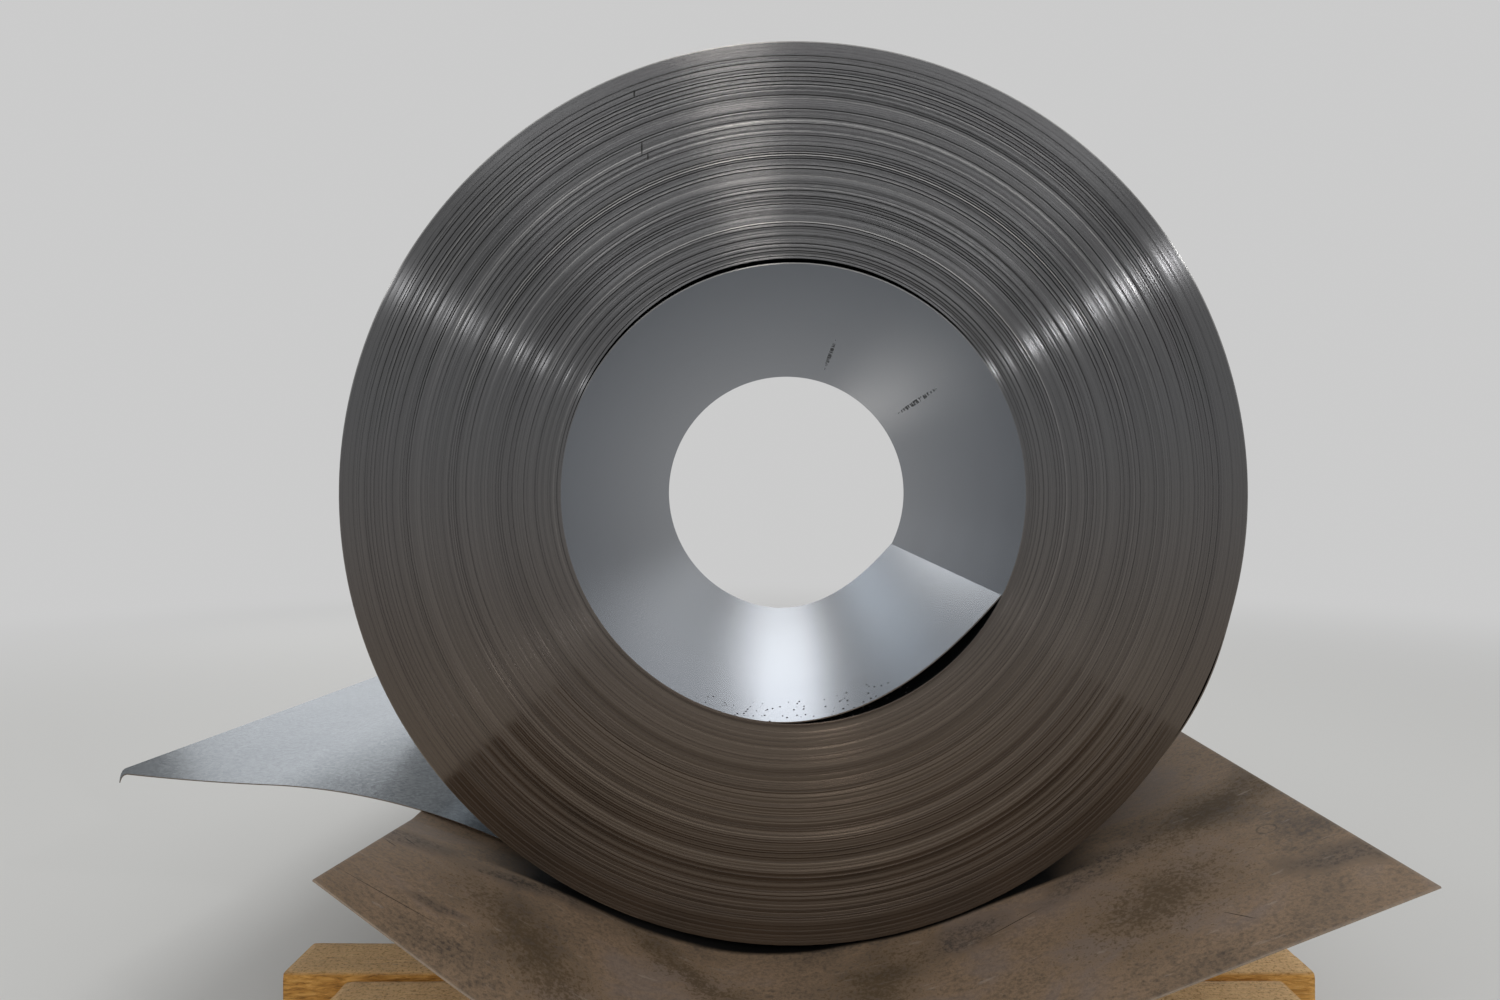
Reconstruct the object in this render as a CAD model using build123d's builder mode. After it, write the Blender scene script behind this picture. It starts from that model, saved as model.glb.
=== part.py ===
from build123d import *
import os
from math import acos, asin, atan2, cos, degrees, radians, sin, sqrt

# A steel coil of galvanised strip, lying on its saddle sheet over rails and cross timbers.
# Millimetres. The origin is the middle of the bore, at half the strip's width. The coil's axis
# is Y, the face at -Y is the front one, and +Z is up. Angles are measured from +X towards +Z.

# Strip and coil
strip_width = 1250.0
strip_thickness = 1.5
bore_diameter = 610.0
coil_diameter = 1195.0

# Groups of turns stand a little forward or back of their neighbours, the same on both ends
turns_in_group = 13
group_shifts = (0.0, 1.6, -0.8, 2.2, 0.6, -1.2, 1.4, -0.4, 1.0)

# A gap between turns that is narrower than this counts as closed
least_gap = 0.8

# Sprung inner end: it has left the turn behind it, and only its tip is back at the wall
inner_lift_angle = -100.0
inner_tip_angle = -26.0
inner_spring = 15.0

# Slack behind the innermost turn, widest near the top of the bore
slack_angle = 95.0
slack_reach = 75.0
slack_width = 4.5

# Outermost turn: it bulges loose low on the right, lies against the coil again under it, and
# leaves it on the left as the tail: a straight stretch, a bend over the sheet's edge that
# flattens it, and a long bend back up to its cut end
loose_start_angle = -17.0
loose_end_angle = -39.0
loose_gap = 5.0
loose_lead = 3.0
tail_lift = 22.0
tail_slope = 20.0
tail_root = 30.0
tail_straight = 229.0
tail_bend_radius = 947.0
tail_bend = 19.25
tail_rise_radius = 3400.0
tail_rise = 4.2
tail_reach = 765.0
tail_skew = 5.0

# Saddle sheet: an old steel sheet between the coil and its timbers. The tail presses its left
# flap down, but in front of the tail the flap is free and stays up against the coil.
sheet_thickness = 2.0
sheet_overhang = 305.0
belly_left = 17.0
belly_right = 10.0
belly_radius = 338.0
right_lift = 21.3
right_flap = 457.0
free_lift = 37.0
free_flap = 155.0
press_depth = 65.0
press_turn = 5.5

# Timbers
timber_edge = 3.0
rail_width = 100.0
rail_height = 150.0
rail_length = 1200.0
rail_half_gap = 188.0
cross_size = 100.0
front_cross_inset = 60.0
cross_spacing = 119.5
outer_cross_ends = (660.0, 726.5)
inner_cross_ends = (765.0, 789.0)

# Clearance between things that rest on each other along a curved face
seat_clearance = 0.3

# Straight down from the axis
bottom = -90.0

half_width = strip_width / 2
bore_radius = bore_diameter / 2
coil_radius = coil_diameter / 2
wrap_radius = coil_radius + strip_thickness
sheet_radius = wrap_radius + seat_clearance
rail_contact = rail_half_gap + timber_edge
rail_top = -sqrt((sheet_radius + sheet_thickness + seat_clearance) ** 2 - rail_contact**2)
rail_bottom = rail_top - rail_height


def polar(radius, angle):
    """The point at this radius and angle round the coil's axis, seen from the front."""
    return (radius * cos(radians(angle)), radius * sin(radians(angle)))


def along_circle(angle, turn=1):
    """The direction round the circle at this angle: 1 is anticlockwise, -1 is clockwise."""
    return (-turn * sin(radians(angle)), turn * cos(radians(angle)))


def wedge(centre, middle, half_angle):
    """The corners of a wedge that reaches well past the coil, this far either side of an angle."""
    corner = Vector(*centre)
    rays = [Vector(*polar(coil_diameter, middle + side * half_angle)) for side in (-1, 0, 1)]
    return [corner] + [corner + ray for ray in rays]


# Steel coil: the packed turns, as one turned body whose groups of turns step on both ends
turn_count = int((coil_radius - bore_radius) / strip_thickness)
group_count = max(1, turn_count // turns_in_group)
group_depth = (coil_radius - bore_radius) / group_count
front_steps = []
back_steps = []
for group in range(group_count):
    shift = group_shifts[group % len(group_shifts)]
    inner = bore_radius + group * group_depth
    outer = inner + group_depth
    front_steps += [(inner, shift - half_width), (outer, shift - half_width)]
    back_steps += [(inner, shift + half_width), (outer, shift + half_width)]

with BuildPart() as packed_turns:
    with BuildSketch(Plane.XY):
        with BuildLine():
            Polyline(*front_steps, *reversed(back_steps), close=True)
        make_face()
    revolve(axis=Axis.Y)


# The slack: a crescent between the innermost turn's back and a circle set off centre
slack_offset = slack_width / (1 - cos(radians(slack_reach)))
slack_inner = bore_radius + strip_thickness
slack_outer = slack_inner - slack_offset * cos(radians(slack_reach))
slack_half_angle = degrees(acos(cos(radians(slack_reach)) + least_gap / slack_offset))

with BuildPart() as slack:
    with BuildSketch(Plane.XZ):
        with Locations(polar(slack_offset, slack_angle)):
            Circle(slack_outer)
        Circle(slack_inner, mode=Mode.SUBTRACT)
        with BuildLine():
            Polyline(*wedge((0, 0), slack_angle, slack_half_angle), close=True)
        make_face(mode=Mode.INTERSECT)
    extrude(amount=strip_width, both=True)


def sector(inner, outer, start, end):
    """A block of packed turns as wide as the coil, between two radii and two angles."""
    with BuildPart() as block:
        with BuildSketch(Plane.XZ):
            with BuildLine():
                CenterArc((0, 0), outer, start, end - start)
                CenterArc((0, 0), inner, start, end - start)
                Line(polar(outer, start), polar(inner, start))
                Line(polar(outer, end), polar(inner, end))
            make_face()
        extrude(amount=half_width, both=True)
    return block.part


def inner_station(share, fall):
    """The point at this share of the sprung end's turn that stands this far off the wall."""
    angle = inner_lift_angle + share * (inner_tip_angle - inner_lift_angle)
    return polar(bore_radius - fall, angle)


# Sprung inner end: three tangent arcs. It stands off most at two thirds of its turn, and its
# tip stays just clear of the wall.
inner_half_share = 1 / 3
inner_half = inner_station(inner_half_share, inner_spring / 2)
inner_most = inner_station(2 * inner_half_share, inner_spring)
inner_tip = inner_station(1, strip_thickness + least_gap)

with BuildPart() as inner_end:
    with BuildSketch(Plane.XZ):
        with BuildLine():
            leaving = TangentArc(
                inner_station(0, 0), inner_half, tangent=along_circle(inner_lift_angle)
            )
            standing_off = TangentArc(inner_half, inner_most, tangent=leaving % 1)
            TangentArc(inner_most, inner_tip, tangent=standing_off % 1)
            offset(amount=strip_thickness, side=Side.RIGHT)
        make_face()
    extrude(amount=half_width, both=True)


def inner_fall_angle(fall):
    """The angle at which the sprung end, on its first arc, stands this far off the wall."""
    share = inner_half_share * sqrt(2 * fall / inner_spring)
    return inner_lift_angle + share * (inner_tip_angle - inner_lift_angle)


# The sprung end is one with the wall until its gap opens
inner_root = sector(
    bore_radius - strip_thickness / 2,
    bore_radius + strip_thickness,
    inner_fall_angle(strip_thickness / 2),
    inner_fall_angle(strip_thickness + least_gap),
)

# Outermost turn: where it is loose it runs on an arc that bulges over the coil's surface
loose_half_reach = (loose_start_angle - loose_end_angle) / 2
loose_middle = (loose_start_angle + loose_end_angle) / 2
loose_half_chord = coil_radius * sin(radians(loose_half_reach))
loose_height = coil_radius * (1 - cos(radians(loose_half_reach))) + loose_gap
loose_radius = (loose_half_chord**2 + loose_height**2) / (2 * loose_height)
loose_half_angle = degrees(asin(loose_half_chord / loose_radius)) + loose_lead
loose_centre = polar(coil_radius + loose_gap - loose_radius, loose_middle)

with BuildPart() as loose_turn:
    with BuildSketch(Plane.XZ):
        with Locations(loose_centre):
            Circle(loose_radius + strip_thickness)
            Circle(loose_radius, mode=Mode.SUBTRACT)
        with BuildLine():
            Polyline(*wedge(loose_centre, loose_middle, loose_half_angle), close=True)
        make_face(mode=Mode.INTERSECT)
    extrude(amount=strip_width, both=True)

# It is one with the packed turns from there to where the tail leaves
lift_angle = bottom - tail_lift
lift_point = polar(coil_radius, lift_angle)
laid_turn = sector(
    coil_radius - strip_thickness,
    coil_radius + strip_thickness,
    loose_end_angle - loose_lead,
    lift_angle,
)
tail_direction = Vector(-cos(radians(tail_slope)), sin(radians(tail_slope)))
tail_start = Vector(*lift_point) - tail_direction * tail_root

skew_run = Vector(-cos(radians(tail_skew)), sin(radians(tail_skew)))
skew_across = Vector(sin(radians(tail_skew)), cos(radians(tail_skew)))
plan_start = Vector(coil_radius, -half_width)
plan_length = (coil_radius - lift_point[0] + tail_reach) / cos(radians(tail_skew))
plan_end = plan_start + skew_run * plan_length

with BuildPart() as outer_turn:
    with BuildSketch(Plane.XZ):
        with BuildLine():
            straight = Line(tail_start, tail_start + tail_direction * (tail_root + tail_straight))
            bend = JernArc(straight @ 1, straight % 1, tail_bend_radius, tail_bend)
            JernArc(bend @ 1, bend % 1, tail_rise_radius, -tail_rise)
            offset(amount=strip_thickness, side=Side.LEFT)
        make_face()
    extrude(amount=strip_width, both=True)
    add(loose_turn.part)
    add(laid_turn)
    with BuildSketch(Plane.XY):
        with BuildLine():
            Polyline(
                plan_start,
                plan_end,
                plan_end + skew_across * strip_width,
                plan_start + skew_across * strip_width,
                close=True,
            )
        make_face()
    extrude(amount=coil_diameter, both=True, mode=Mode.INTERSECT)

with BuildPart() as steel_coil:
    add(packed_turns.part)
    add(slack.part, mode=Mode.SUBTRACT)
    add(inner_end.part)
    add(inner_root)
    add(outer_turn.part)


# Saddle sheet: one bent sheet, of two stretches with different left flaps
def tangent_angle(point, radius):
    """Where a straight flap that ends at this point leaves the circle, left of the bottom."""
    return degrees(atan2(point.Y, point.X) + acos(radius / point.length))


def flap_end(angle, length, radius, turn):
    """The end of a straight flap that leaves the circle at this angle."""
    start = polar(radius, angle)
    direction = along_circle(angle, turn)
    return (start[0] + length * direction[0], start[1] + length * direction[1])


# The belly: straight off the coil's curve on both sides, round one bend at the middle
belly_middle = bottom + (belly_right - belly_left) / 2
belly_half_angle = (belly_left + belly_right) / 2

# Where the tail's bend presses on the left flap, this far round from the start of the bend
tail_bend_start = Vector(*lift_point) + tail_direction * tail_straight
tail_bend_angle = 90 - tail_slope
tail_bend_centre = tail_bend_start - Vector(*polar(tail_bend_radius, tail_bend_angle))
press_radius = tail_bend_radius - strip_thickness - seat_clearance
tail_contact = tail_bend_centre + Vector(*polar(press_radius, tail_bend_angle + press_turn))
pressed_lift = bottom - tangent_angle(tail_contact, sheet_radius)
pressed_flap = sqrt(tail_contact.length**2 - sheet_radius**2)


def sheet_section(plane, left_lift, left_flap):
    """The bent sheet's section: flap, coil's curve, belly between the rails, curve, flap."""
    left_end, left_belly = bottom - left_lift, bottom - belly_left
    right_end, right_belly = bottom + right_lift, bottom + belly_right
    with BuildSketch(plane) as section:
        with BuildLine():
            for face in (0, sheet_thickness):
                radius = sheet_radius + face
                centre_offset = (sheet_radius - belly_radius) / cos(radians(belly_half_angle))
                belly = CenterArc(
                    polar(centre_offset, belly_middle),
                    belly_radius + face,
                    left_belly,
                    right_belly - left_belly,
                )
                Line(flap_end(left_end, left_flap, radius, -1), polar(radius, left_end))
                CenterArc((0, 0), radius, left_end, left_belly - left_end)
                Line(polar(radius, left_belly), belly @ 0)
                Line(belly @ 1, polar(radius, right_belly))
                CenterArc((0, 0), radius, right_belly, right_end - right_belly)
                Line(polar(radius, right_end), flap_end(right_end, right_flap, radius, 1))
            for angle, length, turn in ((left_end, left_flap, -1), (right_end, right_flap, 1)):
                Line(
                    flap_end(angle, length, sheet_radius, turn),
                    flap_end(angle, length, sheet_radius + sheet_thickness, turn),
                )
        make_face()
    return section.sketch.face()


# The free flap comes down to the pressed one in two stretches, which meet at the coil's face.
# The sheet's left edge stays straight through both.
free_end = Vector(*flap_end(bottom - free_lift, free_flap, sheet_radius, -1))
face_share = sheet_overhang / (sheet_overhang + press_depth)
face_end = free_end + (tail_contact - free_end) * face_share
face_lift = bottom - tangent_angle(face_end, sheet_radius)
face_flap = sqrt(face_end.length**2 - sheet_radius**2)
free_section = sheet_section(Plane.XZ.offset(half_width + sheet_overhang), free_lift, free_flap)
face_section = sheet_section(Plane.XZ.offset(half_width), face_lift, face_flap)
pressed_section = sheet_section(
    Plane.XZ.offset(half_width - press_depth), pressed_lift, pressed_flap
)

with BuildPart() as saddle_sheet:
    extrude(pressed_section, amount=-(strip_width + sheet_overhang - press_depth))
    loft([free_section, face_section, pressed_section], ruled=True)


# Rails: two timbers on edge along the coil. The sheet bears on their inner top edges.
def rail(side):
    """One rail, on the left of the coil at -1 and on the right at 1."""
    with BuildPart() as beam:
        with BuildSketch(Plane.XZ.offset(rail_length / 2)):
            with Locations((side * (rail_half_gap + rail_width / 2), rail_top - rail_height / 2)):
                beam_section = Rectangle(rail_width, rail_height)
            chamfer(beam_section.vertices(), timber_edge)
        extrude(amount=-rail_length)
    return beam.part


# Cross timbers: sawn square ones on the floor, under the rails, a pair at each end
def cross_timber(middle, ends):
    """One cross timber at this place along the coil, from its left end to its right end."""
    left, right = ends
    with BuildPart() as beam:
        with BuildSketch(Plane.YZ.offset(-left)):
            with Locations((middle, rail_bottom - cross_size / 2)):
                beam_section = Rectangle(cross_size, cross_size)
            chamfer(beam_section.vertices(), timber_edge)
        extrude(amount=left + right)
    return beam.part


outer_cross = half_width - front_cross_inset - cross_size / 2
inner_cross = outer_cross - cross_spacing
timbers = {
    "rail_left": rail(-1),
    "rail_right": rail(1),
    "cross_timber_1": cross_timber(-outer_cross, outer_cross_ends),
    "cross_timber_2": cross_timber(-inner_cross, inner_cross_ends),
    "cross_timber_3": cross_timber(inner_cross, inner_cross_ends),
    "cross_timber_4": cross_timber(outer_cross, outer_cross_ends),
}

os.makedirs("parts", exist_ok=True)

steel_coil.part.label = "steel_coil"
export_step(steel_coil.part, "parts/steel_coil.step")

saddle_sheet.part.label = "saddle_sheet"
export_step(saddle_sheet.part, "parts/saddle_sheet.step")

for name, timber in timbers.items():
    timber.label = name
    export_step(timber, f"parts/{name}.step")
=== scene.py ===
from math import ceil, cos, floor, pi, radians, sin, tan

import bmesh
import bpy
import numpy as np
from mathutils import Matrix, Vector


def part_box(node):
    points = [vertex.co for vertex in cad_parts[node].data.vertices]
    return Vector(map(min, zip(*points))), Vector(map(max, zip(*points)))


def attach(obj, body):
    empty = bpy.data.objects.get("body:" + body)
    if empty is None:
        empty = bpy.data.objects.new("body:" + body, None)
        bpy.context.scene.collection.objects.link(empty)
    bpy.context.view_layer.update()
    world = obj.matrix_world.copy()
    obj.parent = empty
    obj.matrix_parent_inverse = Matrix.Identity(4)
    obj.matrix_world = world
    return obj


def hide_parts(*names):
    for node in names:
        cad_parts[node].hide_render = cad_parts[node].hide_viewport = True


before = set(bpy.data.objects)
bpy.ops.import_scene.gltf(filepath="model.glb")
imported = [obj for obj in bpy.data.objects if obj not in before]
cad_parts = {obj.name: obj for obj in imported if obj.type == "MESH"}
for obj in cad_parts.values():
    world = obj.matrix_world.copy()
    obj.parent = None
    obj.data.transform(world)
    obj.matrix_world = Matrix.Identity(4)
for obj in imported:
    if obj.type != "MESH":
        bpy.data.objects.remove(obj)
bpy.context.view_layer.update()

# Innermost turn. The start of one long strip of hot-dip galvanised steel, cold rolled, slit to
# width and wound tight on a mandrel, clockwise outwards seen from the front. Its end has sprung
# off the turn behind it, and the top of the turn sags away from the pack by its own weight.
mm = 0.001
strip_width = 1250 * mm
strip_thickness = 1.5 * mm
bore_radius = 305 * mm
coil_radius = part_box("steel_coil")[1].z
tip_angle = radians(-26)
lift_angle = radians(-112)
sprung_turn = radians(74) / (2 * pi)
sprung_gap = 15 * mm
slack_angle = radians(95)
slack_reach = radians(88)
slack_width = 6 * mm
slack_fade = 25
bore_sag = 3.5 * mm
side_spread = 2.7 * mm
crease_angle = radians(30)

lift_share = (tip_angle - lift_angle) / (2 * pi)
turns_wound = floor((coil_radius - bore_radius) / strip_thickness) - 1 + lift_share


def mound(offset, reach):
    """A rise that is 1 at an offset of 0 and falls to 0 at the reach, as a squared cosine."""
    return np.cos(np.clip(offset / reach, -1, 1) * pi / 2) ** 2


def wound_line(turns):
    """The strip's bore side after this many turns from its tip, as x and z.

    The radius grows by one thickness a turn. The flattening takes a squared sine off it near
    the bore and adds a squared cosine near the outside. Behind the first turn a mound of slack
    dies away outwards. The sprung end stands off by the square of the share of the way from its
    root to its tip, times the rest of the way, and 27/4 brings the peak of that to 1.
    """
    angle = tip_angle - 2 * pi * turns
    depth = turns / turns_wound
    radius = bore_radius + strip_thickness * turns
    radius += side_spread * depth * np.cos(angle) ** 2 - bore_sag * (1 - depth) * np.sin(angle) ** 2
    from_slack = (angle - slack_angle + pi) % (2 * pi) - pi
    slack = slack_width * mound(from_slack, slack_reach) * np.exp((1 - turns) / slack_fade)
    radius += np.where(turns >= 1, slack, 0)
    share = np.clip(1 - turns / sprung_turn, 0, 1)
    radius -= sprung_gap * 27 / 4 * share**2 * (1 - share)
    return radius * np.cos(angle), radius * np.sin(angle)


def across(x, z, distance):
    """Moves a line of travel x, z sideways to its left by a distance."""
    run_x, run_z = np.gradient(x, axis=0), np.gradient(z, axis=0)
    length = np.hypot(run_x, run_z)
    return x - distance * run_z / length, z + distance * run_x / length


def quads(columns, rows, start=0, flip=False):
    """The vertex numbers of every quad of a grid that is stored row by row."""
    corner = start + np.arange((rows - 1) * columns).reshape(rows - 1, columns)[:, :-1].ravel()
    ring = [corner, corner + 1, corner + columns + 1, corner + columns]
    return np.stack(ring[::-1] if flip else ring, axis=1)


def mesh_piece(name, points, faces, finishes, finish_of_face, marks=None):
    """A piece of quads. Faces that meet at more than the crease angle keep a hard edge.

    A quad that names a corner twice in a row becomes a triangle. The marks are named values at
    the vertices that its finishes read.
    """
    mesh = bpy.data.meshes.new(name)
    mesh.vertices.add(len(points))
    mesh.vertices.foreach_set("co", np.asarray(points, np.float32).ravel())
    kept = faces != np.roll(faces, 1, axis=1)
    corners = kept.sum(axis=1)
    mesh.loops.add(int(corners.sum()))
    mesh.loops.foreach_set("vertex_index", faces[kept].astype(np.int32))
    mesh.polygons.add(len(faces))
    mesh.polygons.foreach_set("loop_start", (np.cumsum(corners) - corners).astype(np.int32))
    mesh.polygons.foreach_set("material_index", finish_of_face.astype(np.int32))
    mesh.polygons.foreach_set("use_smooth", np.ones(len(faces), bool))
    mesh.update(calc_edges=True)
    mesh.set_sharp_from_angle(angle=crease_angle)
    for finish in finishes:
        mesh.materials.append(finish)
    for mark, values in (marks or {}).items():
        mesh.attributes.new(mark, "FLOAT", "POINT").data.foreach_set("value", values.astype(np.float32))
    piece = bpy.data.objects.new(name, mesh)
    bpy.context.scene.collection.objects.link(piece)
    return piece


def leaf_piece(name, near, far, finishes, marks=None):
    """A closed leaf between two faces, each a grid of points: rows, columns, xyz.

    The near grid and the reversed far grid are joined by one strip of quads along each of the
    four borders. The borders take the last of the finishes, and the far grid the one before it.
    """
    rows, columns = near.shape[:2]
    count = rows * columns
    number = np.arange(count).reshape(rows, columns)
    borders = [number[0], number[-1][::-1], number[:, 0][::-1], number[:, -1]]
    walls = [np.stack([line[1:], line[:-1], line[:-1] + count, line[1:] + count], axis=1) for line in borders]
    grids = [quads(columns, rows), quads(columns, rows, count, flip=True)]
    faces = np.concatenate(grids + walls)
    finish = np.full(len(faces), len(finishes) - 1)
    finish[: len(grids[0]) * 2] = max(len(finishes) - 2, 0)
    finish[: len(grids[0])] = 0
    points = np.concatenate([near.reshape(-1, 3), far.reshape(-1, 3)])
    return mesh_piece(name, points, faces, finishes, finish, marks)


def linear(code):
    """The linear colour of an sRGB hex value, with an alpha of 1."""
    srgb = np.array([int(code[i : i + 2], 16) for i in (0, 2, 4)]) / 255
    return (*np.where(srgb <= 0.04045, srgb / 12.92, ((srgb + 0.055) / 1.055) ** 2.4), 1.0)


def add_node(tree, kind, settings=None, links=None, stops=()):
    """Adds a shader node, sets its properties, inputs and colour stops, and links its inputs.

    A setting in small letters is a property, and any other is an input's name, or its number
    where names repeat: a Mix has its share at 0, its values at 2 and 3, its colours at 6 and 7.
    A link from a node is from the first output that it uses. A stop is a position and a colour.
    """
    node = tree.nodes.new("ShaderNode" + kind)
    for key, value in (settings or {}).items():
        if isinstance(key, str) and key.islower():
            setattr(node, key, value)
        else:
            node.inputs[key].default_value = value
    for key, source in (links or {}).items():
        if isinstance(source, bpy.types.Node):
            source = next(output for output in source.outputs if output.enabled)
        tree.links.new(source, node.inputs[key])
    if stops:
        for position, _ in stops[1:-1]:
            node.color_ramp.elements.new(position)
        for element, (position, code) in zip(node.color_ramp.elements, stops):
            element.position, element.color = position, linear(code)
    return node


def new_finish(name):
    """An empty material and its node tree."""
    finish = bpy.data.materials.new(name)
    finish.use_nodes = True
    finish.node_tree.nodes.clear()
    return finish, finish.node_tree


def mark_reach(tree, place, middle, turn, half_size):
    """How far a point is from the middle of an oval mark, with 1 on the mark's border."""
    oval = {"vector_type": "TEXTURE", "Location": middle, "Rotation": (0, 0, turn), "Scale": half_size}
    local = add_node(tree, "Mapping", oval, {"Vector": place})
    return add_node(tree, "VectorMath", {"operation": "LENGTH"}, {0: local})


# Hot-dip zinc on cold-rolled steel: a dull mirror of fine zinc crystals, each leaning its own way,
# with rolling lines along the strip that smear lights across it. Black dust lies at the bottom of
# the bore near its front, and the hook that lifts the coil has scored the bore lengthwise.
spangle_size = 4 * mm
cloud_size = 180 * mm
middle_colour = (0.5, 0.5, 0.5)
smooth_zinc, rough_zinc = 0.2, 0.27
rolled_smear = 0.4
glancing_tint = "d5d7da"
speck_spacing = 7 * mm
speck_size = 1.5 * mm
speck_drawing = (1, 0.4, 1)
dusty_middle, dusty_half = (0, -600 * mm, -300 * mm), (240 * mm, 90 * mm, 60 * mm)
dusty_reach, clean_reach = 0.4, 1.3
dusty_share, clean_share = 0.8, 0.01
dirt_black, dirt_roughness = "24221f", 0.75
score_break = 14 * mm
score_half_width = 5 * mm
score_strength = 0.8
score_marks = (
    (radians(73), 157 * mm, 262 * mm),
    (radians(35.5), 7 * mm, 277 * mm),
)


def zinc_finish(name, dark, light, spangle_share, spangle_lean, marks):
    """Galvanised steel between two greys, with a share and a lean for its crystals, and scores.

    A score runs lengthwise. It has its direction from the axis, its middle along the axis and
    its half length.
    """
    finish, tree = new_finish(name)
    place = add_node(tree, "TexCoord").outputs["Object"]
    spangle = add_node(tree, "TexVoronoi", {"Scale": 1 / spangle_size}, {"Vector": place}).outputs["Color"]
    clouds = {"Scale": 1 / cloud_size, "Detail": 6, "Roughness": 0.6}
    cloud = add_node(tree, "TexNoise", clouds, {"Vector": place})
    tone = add_node(tree, "Mix", {"data_type": "RGBA", 0: spangle_share}, {6: cloud, 7: spangle})
    grey = add_node(tree, "ValToRGB", links={0: tone}, stops=((0.3, dark), (0.7, light)))

    drawn_out = add_node(tree, "VectorMath", {"operation": "MULTIPLY", 1: speck_drawing}, {0: place})
    speck = add_node(tree, "TexVoronoi", {"Scale": 1 / speck_spacing}, {"Vector": drawn_out})
    dusty = mark_reach(tree, place, dusty_middle, 0, dusty_half)
    settled = {"From Min": dusty_reach, "From Max": clean_reach, "To Min": dusty_share, "To Max": clean_share}
    speck_share = add_node(tree, "MapRange", settled, {0: dusty})
    chosen = add_node(tree, "Math", {"operation": "LESS_THAN"}, {0: speck.outputs["Color"], 1: speck_share})
    near = add_node(tree, "Math", {"operation": "LESS_THAN", 1: speck_size / speck_spacing}, {0: speck})
    dirty = add_node(tree, "Math", {"operation": "MULTIPLY"}, {0: chosen, 1: near})
    gaps = add_node(tree, "TexNoise", {"Scale": 1 / score_break, "Detail": 3}, {"Vector": place})
    between_gaps = {"From Min": 0.47, "From Max": 0.54, "To Max": score_strength}
    broken = add_node(tree, "MapRange", between_gaps, {0: gaps})
    for direction, middle, half_length in marks:
        middle = (bore_radius * cos(direction), middle, bore_radius * sin(direction))
        half_size = (score_half_width, half_length, score_half_width)
        reach = mark_reach(tree, place, middle, 0, half_size)
        inside = add_node(tree, "MapRange", {"From Min": 1.0, "From Max": 0.7}, {0: reach})
        score = add_node(tree, "Math", {"operation": "MULTIPLY"}, {0: inside, 1: broken})
        dirty = add_node(tree, "Math", {"operation": "MAXIMUM"}, {0: dirty, 1: score})
    colour = add_node(tree, "Mix", {"data_type": "RGBA", 7: linear(dirt_black)}, {0: dirty, 6: grey})
    metal = add_node(tree, "Math", {"operation": "SUBTRACT", 0: 1.0}, {1: dirty})
    shine = add_node(tree, "MapRange", {"To Min": smooth_zinc, "To Max": rough_zinc}, {0: tone})
    shine = add_node(tree, "Mix", {"data_type": "FLOAT", 3: dirt_roughness}, {0: dirty, 2: shine})

    across_grain = add_node(tree, "CombineXYZ", {"Y": 1.0})
    lean = add_node(tree, "VectorMath", {"operation": "SUBTRACT", 1: middle_colour}, {0: spangle})
    upright = add_node(tree, "NewGeometry").outputs["Normal"]
    leaning = {"operation": "MULTIPLY_ADD", 1: [spangle_lean] * 3}
    facing = add_node(tree, "VectorMath", leaning, {0: lean, 2: upright})
    facing = add_node(tree, "VectorMath", {"operation": "NORMALIZE"}, {0: facing})
    surface = add_node(
        tree,
        "BsdfPrincipled",
        {"Anisotropic": rolled_smear, "Specular Tint": linear(glancing_tint)},
        {
            "Metallic": metal,
            "Base Color": colour,
            "Roughness": shine,
            "Tangent": across_grain,
            "Normal": facing,
        },
    )
    add_node(tree, "OutputMaterial", links={0: surface})
    return finish


galvanised = zinc_finish("galvanised_steel", "63676a", "7f8385", 0.5, 0.004, ())
outside_zinc = zinc_finish("galvanised_steel_outside", "84898c", "a0a5a8", 0.4, 0.01, ())
# Painted shade: the bore's copy of the same zinc is painted in darker greys, as shade and dim reflection
# inside the bore.
bore_zinc_painted_dark = zinc_finish("galvanised_steel_bore_painted_dark", "565a60", "686c72", 0.12, 0.0006, score_marks)

# Slit edges of the strip: bare sheared steel, whose shear marks along the strip stretch a lamp
# into a narrow streak along the coil's radius. Each turn's edge leans a little, and so catches or
# misses the light. Low on the coil the steel is painted browner, as a painted reflection of what
# lies below it. The lines of the turns are painted fainter there and stronger high up, as painted
# light and shade of the lamps above.
# Painted reflection: low on the coil the edges are painted browner, standing for the brown reflected from
# below.
brown_reflection_top, brown_reflection_bottom = 150 * mm, -420 * mm
# Painted light and shade: the turns' lines are painted fainter low on the coil and stronger high up.
painted_contrast_top, painted_contrast_bottom = 340 * mm, 60 * mm
painted_low_contrast, painted_high_contrast = 0.5, 1.5
shear_mark_length = 12 * mm
shear_mark_width = 0.6 * mm
shear_mark_share = 0.3
middle_radius = (bore_radius + coil_radius) / 2
tone_steps = (0.14, 0.36, 0.64, 0.86)
grey_edge_tones = ("2e2e2e", "5e5e5f", "6d6d6e", "989796")
brown_reflection_tones = ("2c2620", "584d44", "716559", "968b80")
nick_black, nick_strength = "1c1b1a", 0.9
nick_half_width, nick_half_depth = 1.1 * mm, 2
nicks = (
    (-209 * mm, 526 * mm, 5 * mm),
    (-199 * mm, 454 * mm, 10 * mm),
    (-191 * mm, 443.5 * mm, 5 * mm),
)
slit_edge, tree = new_finish("slit_steel_edge")
place = add_node(tree, "TexCoord").outputs["Object"]
radial = add_node(tree, "VectorMath", {"operation": "MULTIPLY", 1: (1, 0, 1)}, {0: place})
outwards = add_node(tree, "VectorMath", {"operation": "NORMALIZE"}, {0: radial})
radius = add_node(tree, "VectorMath", {"operation": "LENGTH"}, {0: radial})
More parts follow.
